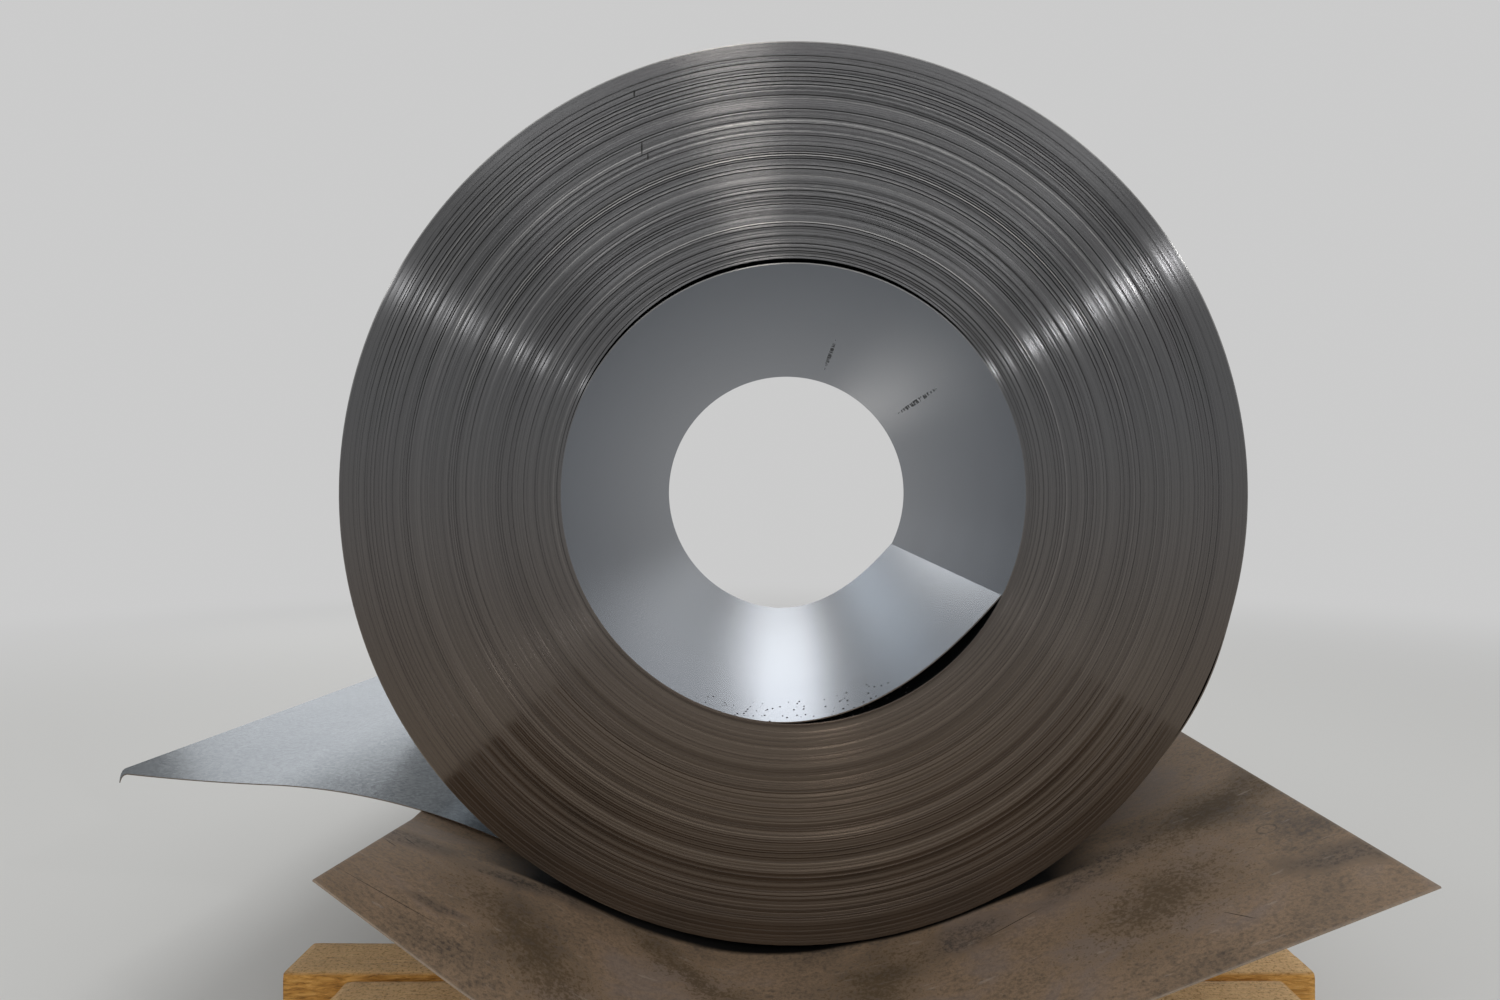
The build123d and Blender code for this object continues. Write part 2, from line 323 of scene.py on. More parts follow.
marks_round = {"operation": "SCALE", "Scale": middle_radius / shear_mark_length}
round_ring = add_node(tree, "VectorMath", marks_round, {0: outwards})
over_ring = add_node(tree, "Math", {"operation": "MULTIPLY", 1: 1 / shear_mark_width}, {0: radius})
over_rings = add_node(tree, "CombineXYZ", links={"Y": over_ring})
on_ring = add_node(tree, "VectorMath", {"operation": "ADD"}, {0: round_ring, 1: over_rings})
shear_marks = add_node(tree, "TexNoise", {"Scale": 1, "Detail": 3}, {"Vector": on_ring})
turn_tone = add_node(tree, "Attribute", {"attribute_name": "edge_tone"}).outputs["Fac"]
tone = add_node(tree, "Mix", {"data_type": "FLOAT", 0: shear_mark_share}, {2: turn_tone, 3: shear_marks})
height = add_node(tree, "SeparateXYZ", links={0: place}).outputs["Z"]
# Painted light and shade: the contrast of the turns' tones grows with height, as the lamps above would show
# it.
painted_contrast_by_height = {"From Min": painted_contrast_bottom, "From Max": painted_contrast_top, "To Min": painted_low_contrast, "To Max": painted_high_contrast}
contrast = add_node(tree, "MapRange", painted_contrast_by_height, {0: height})
tone = add_node(tree, "Math", {"operation": "SUBTRACT", 1: 0.5}, {0: tone})
tone = add_node(tree, "Math", {"operation": "MULTIPLY_ADD", 2: 0.5}, {0: tone, 1: contrast})
clean = add_node(tree, "ValToRGB", links={0: tone}, stops=list(zip(tone_steps, grey_edge_tones)))
painted_brown_reflection = add_node(tree, "ValToRGB", links={0: tone}, stops=list(zip(tone_steps, brown_reflection_tones)))
# Painted reflection: the edges turn to the browner tones towards the bottom of the coil.
browning_by_height = {"interpolation_type": "SMOOTHSTEP", "From Min": brown_reflection_top, "From Max": brown_reflection_bottom}
brown_reflection_share = add_node(tree, "MapRange", browning_by_height, {0: height})
colour = add_node(tree, "Mix", {"data_type": "RGBA"}, {0: brown_reflection_share, 6: clean, 7: painted_brown_reflection})
for nick_x, nick_z, nick_half_length in nicks:
    half_size = (nick_half_width, nick_half_depth, nick_half_length)
    reach = mark_reach(tree, place, (nick_x, 0, nick_z), 0, half_size)
    faded = {"From Min": 1.1, "From Max": 0.8, "To Max": nick_strength}
    inside = add_node(tree, "MapRange", faded, {0: reach})
    colour = add_node(tree, "Mix", {"data_type": "RGBA", 7: linear(nick_black)}, {0: inside, 6: colour})
turn_lean = add_node(tree, "Attribute", {"attribute_name": "edge_lean"}).outputs["Fac"]
leaning = add_node(tree, "VectorMath", {"operation": "SCALE"}, {0: outwards, "Scale": turn_lean})
upright = add_node(tree, "NewGeometry").outputs["Normal"]
facing = add_node(tree, "VectorMath", {"operation": "ADD"}, {0: upright, 1: leaning})
facing = add_node(tree, "VectorMath", {"operation": "NORMALIZE"}, {0: facing})
surface = add_node(
    tree,
    "BsdfPrincipled",
    {"Metallic": 1.0, "Roughness": 0.23, "Anisotropic": 1.0},
    {"Base Color": colour, "Tangent": outwards, "Normal": facing},
)
add_node(tree, "OutputMaterial", links={0: surface})

turn_steps = 240
width_steps = 8
inner_edge_tone = 0.8
widths = np.linspace(-strip_width / 2, strip_width / 2, width_steps + 1)


def leaf_face(x, z, y):
    """A grid of points from a line in x and z, repeated at every y."""
    face = np.empty((len(x), len(y), 3))
    face[..., 0], face[..., 1], face[..., 2] = x[:, None], y[None, :], z[:, None]
    return face


bore_x, bore_z = wound_line(np.linspace(0, 1, turn_steps + 1))
back_x, back_z = across(bore_x, bore_z, strip_thickness)
inner_turn = leaf_piece(
    "inner_turn",
    leaf_face(bore_x, bore_z, widths),
    leaf_face(back_x, back_z, widths),
    [bore_zinc_painted_dark, slit_edge],
    {"edge_tone": np.full(2 * len(bore_x) * len(widths), inner_edge_tone)},
)
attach(inner_turn, "root")
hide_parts("steel_coil")

# Packed turns. The same strip goes on round for about 190 turns. Each stands a little forward or
# back of its neighbours, since the strip wandered while it was wound, so the slit edges make fine
# rings on both ends. Some stretches of a turn stand back as a groove that is also painted darker,
# as painted shade, and some are painted lighter, as a painted highlight, a bright line by itself.
edge_steps = 120
fine_wander, fine_knots = 0.15 * mm, 3
group_wander, group_knots = 0.25 * mm, 1 / 7
line_share, line_knots = 0.9, 1.6
crowd_share, crowd_knots = 0.15, 0.1
groove_level, glint_level, line_fade = 0.3, 0.8, 0.3
groove_depth = 0.5 * mm
tone_wander, tone_knots = 0.12, 2
# Painted shade in the grooves and a painted highlight on the glints, as shares of the edge tone.
groove_painted_shade, glint_painted_highlight = 0.45, 0.2
lean_wander, lean_knots = 0.15, 1.5
slow_lean_share, slow_lean_knots = 0.4, 0.4
groove_lean, glint_lean = 0.3, 0.06
steepest_lean = 0.3
smooth_outer_turns, least_relief = 24, 0.25
least_step = 0.001 * mm
chance = np.random.default_rng(7)

packed_steps = int((turns_wound - 2) * edge_steps)
packed_end = 1 + packed_steps / edge_steps
turns = 1 + np.arange(packed_steps + 1) / edge_steps


def wander(knots_per_turn):
    """A random line along the strip: normal values at evenly spaced knots, joined by straights."""
    count = ceil(turns_wound * knots_per_turn) + 2
    return np.interp(turns * knots_per_turn, np.arange(count), chance.standard_normal(count))


def single_lines(level):
    """A level over 0 as a share of up to 1, and less where the turn before has a share too."""
    share = np.clip(level / line_fade, 0, 1)
    share[edge_steps:] *= 1 - share[:-edge_steps]
    return share


relief = np.clip((packed_end - turns) / smooth_outer_turns, least_relief, 1)
edge_shift = fine_wander * wander(fine_knots)
edge_shift += group_wander * wander(group_knots)
grooves = single_lines(line_share * wander(line_knots) + crowd_share * wander(crowd_knots) - groove_level)
glints = single_lines(wander(line_knots) - glint_level)
# Painted shade darkens the edges of the grooves, and a painted highlight lightens the glints.
edge_tone = tone_wander * wander(tone_knots) - groove_painted_shade * grooves + glint_painted_highlight * glints * (1 - grooves)
edge_tone = np.clip(0.5 + relief * edge_tone, 0, 1)
edge_lean = wander(lean_knots) + slow_lean_share * wander(slow_lean_knots)
edge_lean = lean_wander * edge_lean - groove_lean * grooves + glint_lean * glints
edge_lean = np.clip(edge_lean * relief, -steepest_lean, steepest_lean)

# The first and last turns are flush, and no edge lies exactly level with its neighbour's
edge_shift += groove_depth * grooves
edge_shift *= relief
edge_shift *= np.clip(np.minimum(turns - 2, packed_end - 1 - turns), 0, 1)
other_turn = np.arange(packed_steps + 1) // edge_steps % 2
edge_shift = (np.round(edge_shift / least_step) + other_turn / 2) * least_step

points = np.concatenate(
    [
        np.stack([x, edge_shift + end * strip_width / 2, z], axis=1)
        for end in (-1, 1)
        for x, z in (wound_line(turns), wound_line(turns + 1))
    ]
)
inner_front, outer_front, inner_back, outer_back = (packed_steps + 1) * np.arange(4)


def band(low, high, steps):
    """Quads between two lines of vertices that start at low and high, at these steps."""
    return np.stack([low + steps, low + steps + 1, high + steps + 1, high + steps], axis=1)


every_step = np.arange(packed_steps)
slit_edges = [band(inner_front, outer_front, every_step), band(outer_back, inner_back, every_step)]
front_steps = band(outer_front, inner_front + edge_steps, every_step[:-edge_steps])
back_steps = band(inner_back + edge_steps, outer_back, every_step[:-edge_steps])
bore_wall = band(inner_back, inner_front, every_step[:edge_steps])
outer_wall = band(outer_front, outer_back, every_step[-edge_steps:])
start = np.array([inner_back, outer_back, outer_front, inner_front])
strip_ends = np.stack([start, start[::-1] + packed_steps])
faces = np.concatenate(slit_edges + [front_steps, back_steps, bore_wall, outer_wall, strip_ends])

# The strip's start and end share their points with the turn over and the turn under them
for inner, outer in ((inner_front, outer_front), (inner_back, outer_back)):
    faces[faces == outer] = inner + edge_steps
    faces[faces == inner + packed_steps] = outer + packed_steps - edge_steps
packed_turns = mesh_piece(
    "packed_turns",
    points,
    faces,
    [outside_zinc, slit_edge],
    np.arange(len(faces)) < 2 * packed_steps,
    {"edge_tone": np.tile(edge_tone, 4), "edge_lean": np.tile(edge_lean, 4)},
)
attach(packed_turns, "root")
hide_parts("steel_coil")

# Outermost turn. The end of the same strip: loose low on the right, laid on the saddle sheet
# under the coil, and leaving it on the left as a flat tail over the sheet's edge. It was pulled
# off askew, and the front corner of its cut end is bent down.
loose_middle = radians(-28)
loose_reach = radians(14)
loose_gap = 5 * mm
tail_slope = radians(20)
tail_straight = 229 * mm
bend_radius, bend_angle = 947 * mm, radians(19.25)
rise_radius, rise_angle = 3400 * mm, radians(4.2)
tail_reach = 764.7 * mm
tail_skew = radians(5)
curl_reach = 22 * mm
curl_drop = 15 * mm
path_points = 800
fine_width, fine_tail = 0.03, 0.96


def eased(share):
    """A share that starts and stops gently: three times its square, less twice its cube."""
    return share**2 * (3 - 2 * share)


turns = np.linspace(packed_end, turns_wound, turn_steps + 1)
wound_x, wound_z = wound_line(turns)
radius, angle = np.hypot(wound_x, wound_z), np.arctan2(wound_z, wound_x)
last_angle = lift_angle + 2 * pi * (turns_wound - turns)
past_middle = (loose_middle - last_angle) / loose_reach
radius += eased(np.clip(past_middle, 0, 1)) * (coil_radius - radius)
radius += loose_gap * (1 - np.clip(past_middle, -1, 1) ** 2) ** 2
wound_x, wound_z = radius * np.cos(angle), radius * np.sin(angle)

bend_length = bend_radius * bend_angle
path = np.linspace(0, tail_straight + bend_length + rise_radius * rise_angle, path_points)
bent = np.clip(path - tail_straight, 0, bend_length)
risen = np.clip(path - tail_straight - bend_length, 0, None)
heading = tail_slope - bent / bend_radius + risen / rise_radius
path_x = wound_x[-1] - np.cumsum(np.cos(heading)) * path[1]
path_z = wound_z[-1] + np.cumsum(np.sin(heading)) * path[1]

width_share = np.concatenate([np.linspace(0, fine_width, 9)[:-1], np.linspace(fine_width, 1, 25)])
tail_share = np.concatenate([np.linspace(0, fine_tail, 80)[1:], np.linspace(fine_tail, 1, 13)[1:]])
tip_x = wound_x[-1] - tail_reach + width_share * strip_width * sin(tail_skew)
tip_path = np.interp(-tip_x, -path_x, path)
at_path = tail_share[:, None] * tip_path[None, :]
tail_x = np.interp(at_path, path, path_x)
tail_z = np.interp(at_path, path, path_z)
from_corner = tip_path[None, :] - at_path + width_share * strip_width
curl = np.clip(1 - from_corner / curl_reach, 0, 1) ** 2
tail_x += curl * curl_drop / 2
tail_z -= curl * curl_drop
ones = np.ones(len(width_share))
leaf_x = np.concatenate([wound_x[:, None] * ones, tail_x])
leaf_z = np.concatenate([wound_z[:, None] * ones, tail_z])
outer_x, outer_z = across(leaf_x, leaf_z, strip_thickness)


def skewed_leaf(x, z):
    """Adds y to a grid of x and z: past the coil's right side the strip runs askew."""
    askew = np.ones(len(x))
    askew[: turn_steps + 1] = last_angle < 0
    shift = askew[:, None] * np.clip(coil_radius - x, 0, None) * tan(tail_skew)
    y = shift - strip_width / 2 + width_share * strip_width
    return np.stack([x, y, z], axis=2)


outer_turn = leaf_piece(
    "outer_turn",
    skewed_leaf(leaf_x, leaf_z),
    skewed_leaf(outer_x, outer_z),
    [galvanised, outside_zinc, slit_edge],
    {"edge_tone": np.ones(2 * leaf_x.size)},
)
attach(outer_turn, "root")
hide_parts("steel_coil")

# Saddle sheet. An old steel sheet laid over the rails, which the coil has bent to its own curve.
# Its left flap is pressed down by the tail, except in front of the tail, and its front border
# hangs in a shallow hollow where no rail is under it.
sheet_thickness = 2 * mm
sheet_radius = coil_radius + strip_thickness + 0.3 * mm
sheet_front, sheet_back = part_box("saddle_sheet")[0].y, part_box("saddle_sheet")[1].y
belly_left, belly_right = radians(17), radians(10)
belly_radius = 338 * mm
right_lift, right_flap = radians(21.3), 457 * mm
coil_face = -strip_width / 2
press_end = coil_face + 65 * mm
rail_end = 600 * mm
hollow_middle, hollow_reach = -175 * mm, 190 * mm
hollow_depth = 9.5 * mm
rim_width = 6 * mm
stretch_steps = (60, 16, 6, 20, 6, 20, 50)

# The left flap's lift and length at each of four sections from front to back
section_y = np.array([sheet_front, coil_face, press_end, sheet_back])
left_lifts = np.radians([37, 21.62, 19.33, 19.33])
left_flaps = np.array([155, 320.7, 347.4, 347.4]) * mm

# Old mill sheet: warm grey-brown oxide, violet-grey where it is rubbed, with fine grains of rust,
# dark stains, scratches, the rings that tins left, a worn border, and a painted black shadow
# under the coil.
# A mark is x, y, direction, half length and half width, in millimetres and degrees.
rubbed_size = 240 * mm
ragged_size, ragged_reach = 60 * mm, 70 * mm
rust_grain_size, rust_grain_depth = 6 * mm, 0.4 * mm
oxide_tones = ((0.38, "5c5046"), (0.46, "816e5a"), (0.54, "9c836a"), (0.62, "b89e83"))
rust_runs = (
    (-305, -790, -42, 150, 52),
    (-350, -645, 20, 60, 14),
    (-135, -695, -42, 150, 32),
    (560, -600, 20, 150, 55),
    (104, -735, 60, 100, 55),
    (430, -760, 30, 120, 70),
)
stains = (
    (-505, -662, 20, 62, 28),
    (-335, -645, 12, 80, 20),
    (385, -640, 22, 75, 22),
    (218, -680, 0, 50, 34),
    (610, -815, -20, 60, 26),
    (-403, -823, 0, 28, 12),
)
scratch_marks = (
    (-440, -862, 5, 58, 0.8),
    (-489, -666, -36, 14, 1.6),
    (-497, -705, -28, 11, 1.4),
    (272, -690, 15, 44, 0.9),
    (480, -850, -60, 22, 0.6),
)
rubbing_lines, rubbing_direction = (4, 90, 60), radians(28)
tin_radius, tin_line = 11 * mm, 0.1
tin_marks = ((585, -700), (510, -420))
tin_strength = 0.45
# Painted shadow: the sheet is painted near black under the coil, between its end faces and near the axis.
shadow_full_y, shadow_none_y = strip_width / 2 - 6 * mm, strip_width / 2 + 3 * mm
shadow_full_x, shadow_none_x = 340 * mm, 420 * mm
any_height = 1000

stained_sheet, tree = new_finish("stained_mill_sheet")
place = add_node(tree, "TexCoord").outputs["Object"]
raggedness = {"Scale": 1 / ragged_size, "Detail": 6, "Roughness": 0.65}
wobble = add_node(tree, "TexNoise", raggedness, {"Vector": place}).outputs["Color"]
wobble = add_node(tree, "VectorMath", {"operation": "SUBTRACT", 1: middle_colour}, {0: wobble})
shifting = {"operation": "MULTIPLY_ADD", 1: [ragged_reach] * 3}
ragged = add_node(tree, "VectorMath", shifting, {0: wobble, 2: place})


def inside_marks(marks, place, faded, full):
    """A share that rises from 0 at the faded reach to 1 at the full reach of the nearest mark."""
    nearest = None
    for x, y, turn, long, wide in marks:
        middle, half_size = (x * mm, y * mm, 0), (long * mm, wide * mm, any_height)
        reach = mark_reach(tree, place, middle, radians(turn), half_size)
        if nearest:
            reach = add_node(tree, "Math", {"operation": "MINIMUM"}, {0: reach, 1: nearest})
        nearest = reach
    return add_node(tree, "MapRange", {"From Min": faded, "From Max": full}, {0: nearest})


grains = {"Scale": 1 / rust_grain_size, "Detail": 5, "Roughness": 0.8}
grain = add_node(tree, "TexNoise", grains, {"Vector": place})
clouds = {"Scale": 1 / rubbed_size, "Detail": 9, "Roughness": 0.66, "Distortion": 0.5}
cloudy = add_node(tree, "TexNoise", clouds, {"Vector": place})
mottled = add_node(tree, "Mix", {"data_type": "FLOAT", 0: 0.5}, {2: cloudy, 3: grain})
rubbed = add_node(tree, "MapRange", {"From Min": 0.5, "From Max": 0.6, "To Max": 0.55}, {0: cloudy})
runs = inside_marks(rust_runs, ragged, 1.5, 0.2)
rust_level = add_node(tree, "Math", {"operation": "MULTIPLY_ADD", 1: 0.2}, {0: runs, 2: grain})
rust = add_node(tree, "MapRange", {"From Min": 0.59, "From Max": 0.7, "To Max": 0.75}, {0: rust_level})
stained = inside_marks(stains, ragged, 1.5, 0.6)
patchy = add_node(tree, "MapRange", {"From Min": 0.42, "From Max": 0.56, "To Max": 0.75}, {0: grain})
stained = add_node(tree, "Math", {"operation": "MULTIPLY"}, {0: stained, 1: patchy})
along_rubbing = {"Scale": rubbing_lines, "Rotation": (0, 0, rubbing_direction)}
rubbing = add_node(tree, "Mapping", along_rubbing, {"Vector": place})
rubbing = add_node(tree, "TexNoise", {"Scale": 1, "Detail": 4, "Roughness": 0.6}, {"Vector": rubbing})
scratched = add_node(tree, "MapRange", {"From Min": 0.64, "From Max": 0.72, "To Max": 0.4}, {0: rubbing})
scored = inside_marks(scratch_marks, place, 1.1, 0.6)
tins = []
for tin_x, tin_y in tin_marks:
    half_size = (tin_radius, tin_radius, any_height)
    reach = mark_reach(tree, place, (tin_x * mm, tin_y * mm, 0), 0, half_size)
    on_line = add_node(tree, "Math", {"operation": "COMPARE", 1: 1, 2: tin_line}, {0: reach})
    tins.append(add_node(tree, "Math", {"operation": "MULTIPLY", 1: tin_strength}, {0: on_line}))
rim = add_node(tree, "Attribute", {"attribute_name": "rim"}).outputs["Fac"]
worn_rim = add_node(tree, "MapRange", {"From Min": 0.45, "From Max": 1, "To Max": 0.35}, {0: rim})
axes = add_node(tree, "SeparateXYZ", links={0: place})
off_middle = add_node(tree, "Math", {"operation": "ABSOLUTE"}, {0: axes.outputs["Y"]})
# Painted shadow under the coil: near black where the sheet lies between the coil's end faces, near the axis.
under_coil = add_node(tree, "MapRange", {"From Min": shadow_none_y, "From Max": shadow_full_y}, {0: off_middle})
off_axis = add_node(tree, "Math", {"operation": "ABSOLUTE"}, {0: axes.outputs["X"]})
beside_axis = add_node(tree, "MapRange", {"From Min": shadow_none_x, "From Max": shadow_full_x}, {0: off_axis})
painted_shadow_under_coil = add_node(tree, "Math", {"operation": "MULTIPLY"}, {0: under_coil, 1: beside_axis})
layers = [(rubbed, "776d69"), (rust, "48381f"), (stained, "413c3a"), (scratched, "b0a396")]
layers += [(scored, "352a22")] + [(tin, "3c342d") for tin in tins]
layers += [(worn_rim, "a69a8d"), (painted_shadow_under_coil, "0d0b0a")]
colour = add_node(tree, "ValToRGB", links={0: mottled}, stops=oxide_tones)
for share, code in layers:
    colour = add_node(tree, "Mix", {"data_type": "RGBA", 7: linear(code)}, {0: share, 6: colour})
relief = add_node(tree, "Bump", {"Strength": 0.5, "Distance": rust_grain_depth}, {"Height": rust_level})
dulling = {"From Min": 0.3, "From Max": 0.9, "To Min": 0.5, "To Max": 0.8}
dullness = add_node(tree, "MapRange", dulling, {0: rust_level})
surface = add_node(
    tree,
    "BsdfPrincipled",
    {"Metallic": 0.2},
    {"Base Color": colour, "Roughness": dullness, "Normal": relief},
)
add_node(tree, "OutputMaterial", links={0: surface})


def sheet_section(left_lift, left_flap):
    """The top of the sheet's section from its right end to its left, for arrays of left flaps.

    Seven stretches follow each other: flap, coil's curve, straight, belly, straight, coil's
    curve, flap. The heading is held on a flap or a straight and turns evenly on a curve, and
    the line is its running sum.
    """
    belly_half = (belly_left + belly_right) / 2
    straight = (sheet_radius - belly_radius) * tan(belly_half)
    fixed = [right_flap, sheet_radius * (right_lift - belly_right), straight]
    fixed += [belly_radius * 2 * belly_half, straight]
    lengths = [np.full_like(left_lift, length) for length in fixed]
    lengths += [sheet_radius * (left_lift - belly_left), left_flap]
    headings = [right_lift, right_lift, belly_right, belly_right, -belly_left, -belly_left]
    headings = [np.full_like(left_lift, heading) for heading in headings] + [-left_lift, -left_lift]
    headings = np.array(headings)
    nothing = np.zeros((1, len(left_flap)))
    ends = np.concatenate([nothing, np.cumsum(lengths, axis=0)])
    shares = [number + np.arange(steps) / steps for number, steps in enumerate(stretch_steps)]
    stretch = np.concatenate(shares + [[len(stretch_steps)]])
    whole = np.minimum(stretch.astype(int), len(stretch_steps) - 1)
    part = (stretch - whole)[:, None]
    station = ends[whole] + part * (ends[whole + 1] - ends[whole])
    heading = headings[whole] + part * (headings[whole + 1] - headings[whole])
    step, middle = np.diff(station, axis=0), (heading[1:] + heading[:-1]) / 2
    start_x = sheet_radius * sin(right_lift) + right_flap * cos(right_lift)
    start_z = right_flap * sin(right_lift) - sheet_radius * cos(right_lift)
    x = np.concatenate([nothing, np.cumsum(-step * np.cos(middle), axis=0)])
    z = np.concatenate([nothing, np.cumsum(-step * np.sin(middle), axis=0)])
    return start_x + x, start_z + z


rim_y = sheet_front + np.linspace(0, rim_width, 4)[:-1]
sheet_y = np.concatenate(
    [
        rim_y,
        np.linspace(sheet_front + rim_width, coil_face, 50)[:-1],
        np.linspace(coil_face, press_end, 14)[:-1],
        np.linspace(press_end, sheet_back - rim_width, 70),
        (sheet_front + sheet_back - rim_y)[::-1],
    ]
)
section_x, section_z = sheet_section(left_lifts, left_flaps)
at_section = np.interp(sheet_y, section_y, np.arange(len(section_y)))
before = np.minimum(at_section.astype(int), len(section_y) - 2)
share = at_section - before
sheet_x = section_x[:, before] * (1 - share) + section_x[:, before + 1] * share
sheet_z = section_z[:, before] * (1 - share) + section_z[:, before + 1] * share
past_rail = np.clip((sheet_y + rail_end) / (coil_face + rail_end), 0, 1)
sheet_z -= hollow_depth * mound(sheet_x - hollow_middle, hollow_reach) * eased(past_rail)
under_x, under_z = across(sheet_x, sheet_z, sheet_thickness)
row_y = np.broadcast_to(sheet_y, sheet_x.shape)
to_left = np.hypot(sheet_x - sheet_x[-1], sheet_z - sheet_z[-1])
to_right = np.hypot(sheet_x - sheet_x[0], sheet_z - sheet_z[0])
to_rim = np.minimum(np.minimum(to_left, to_right), np.minimum(sheet_y - sheet_front, sheet_back - sheet_y))
rim_wear = np.clip(1 - to_rim / rim_width, 0, 1)
saddle_sheet = leaf_piece(
    "bent_sheet",
    np.stack([sheet_x, row_y, sheet_z], axis=2),
    np.stack([under_x, row_y, under_z], axis=2),
    [stained_sheet],
    {"rim": np.tile(rim_wear.ravel(), 2)},
)
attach(saddle_sheet, "root")
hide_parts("saddle_sheet")

# Timbers. Two rails on edge along the coil, and two pairs of square ones across under them:
# rough sawn softwood, straight off the saw, with worn arrises and darker ends.
worn_arris, arris_wander = 5 * mm, 2 * mm
arris_knots = 25
timber_length_steps = 120
timber_side_steps = 10

# Sawn spruce: pale fibres, coarse bands of the board, dust on top, painted lighter there as
# painted light from above as well, and year rings on the ends.
# The rings and the saw's marks are drawn coarser than on real timber, so that they show.
fibre_width, fibre_length = 5 * mm, 32 * mm
board_coarseness, board_share = 8, 0.3
pit_size = 5 * mm
sawn_depth = 5 * mm
saw_mark_pitch, saw_mark_share = 43.98 * mm, 0.25
ring_pitch, ring_slant = 37.7 * mm, 0.05
wave_pitch = pi / 10
side_tones = ((0.36, "7c501a"), (0.44, "c58b3c"), (0.54, "e6ac58"), (0.66, "f8d088"))
end_tones = ((0, "8f6632"), (1, "bf9358"))
dust_and_painted_light_tones = ((0.34, "8f7048"), (0.5, "e8c99c"))


def softwood_finish(along):
    """Rough sawn spruce whose fibres run along axis 0, x, or 1, y, of the object.

    The fibres are noise that is drawn out along the timber, the saw's marks are bands across
    it, and the ends show year rings round a heart above the timber. A wave texture has its own
    pitch at a scale of 1.
    """
    finish, tree = new_finish("sawn_spruce_along_" + "xy"[along])
    place = add_node(tree, "TexCoord").outputs["Object"]
    stretch = [1 / fibre_width] * 3
    stretch[along] = 1 / fibre_length
    fine = add_node(tree, "Mapping", {"Scale": stretch}, {"Vector": place})
    fibres = {"Scale": 1, "Detail": 6, "Roughness": 0.72, "Distortion": 0.8}
    fibre = add_node(tree, "TexNoise", fibres, {"Vector": fine})
    broad = [scale / board_coarseness for scale in stretch]
    broad = add_node(tree, "Mapping", {"Scale": broad}, {"Vector": place})
    board = add_node(tree, "TexNoise", {"Scale": 1, "Detail": 3, "Distortion": 0.4}, {"Vector": broad})
    grain = add_node(tree, "Mix", {"data_type": "FLOAT", 0: board_share}, {2: fibre, 3: board})
    side = add_node(tree, "ValToRGB", links={0: grain}, stops=side_tones)

    flat = [1, 1, 1]
    flat[along] = ring_slant
    flattened = add_node(tree, "VectorMath", {"operation": "MULTIPLY", 1: flat}, {0: place})
    year_rings = {"wave_type": "RINGS", "rings_direction": "XY"[along]}
    year_rings |= {"Scale": wave_pitch / ring_pitch, "Distortion": 3}
    rings = add_node(tree, "TexWave", year_rings, {"Vector": flattened})
    end = add_node(tree, "ValToRGB", links={0: rings}, stops=end_tones)
    facing = add_node(tree, "NewGeometry").outputs["Normal"]
    facing = add_node(tree, "SeparateXYZ", links={0: facing})
    endwise = add_node(tree, "Math", {"operation": "POWER", 1: 2}, {0: facing.outputs[along]})
    is_end = add_node(tree, "MapRange", {"From Min": 0.4, "From Max": 0.8}, {0: endwise})
    pitted = {"Scale": 1 / pit_size, "Detail": 4, "Roughness": 0.7}
    pits = add_node(tree, "TexNoise", pitted, {"Vector": place})
    dust = add_node(tree, "ValToRGB", links={0: pits}, stops=dust_and_painted_light_tones)
    # Dust and painted light: faces that look up are painted lighter, partly dust and partly painted light
    # from above.
    upward = {"From Min": 0.5, "From Max": 0.9, "To Max": 0.65}
    dust_and_painted_light_top = add_node(tree, "MapRange", upward, {0: facing.outputs["Z"]})
    side = add_node(tree, "Mix", {"data_type": "RGBA"}, {0: dust_and_painted_light_top, 6: side, 7: dust})
    colour = add_node(tree, "Mix", {"data_type": "RGBA"}, {0: is_end, 6: side, 7: end})

    sawing = {"bands_direction": "XY"[along], "Scale": wave_pitch / saw_mark_pitch}
    sawing |= {"Distortion": 2, "Detail": 2}
    saw_marks = add_node(tree, "TexWave", sawing, {"Vector": place})
    height = add_node(tree, "Mix", {"data_type": "FLOAT", 0: saw_mark_share}, {2: fibre, 3: saw_marks})
    relief = add_node(tree, "Bump", {"Strength": 1.0, "Distance": sawn_depth}, {"Height": height})
    links = {"Base Color": colour, "Normal": relief}
    surface = add_node(tree, "BsdfPrincipled", {"Roughness": 0.8}, links)
    add_node(tree, "OutputMaterial", links={0: surface})
    return finish


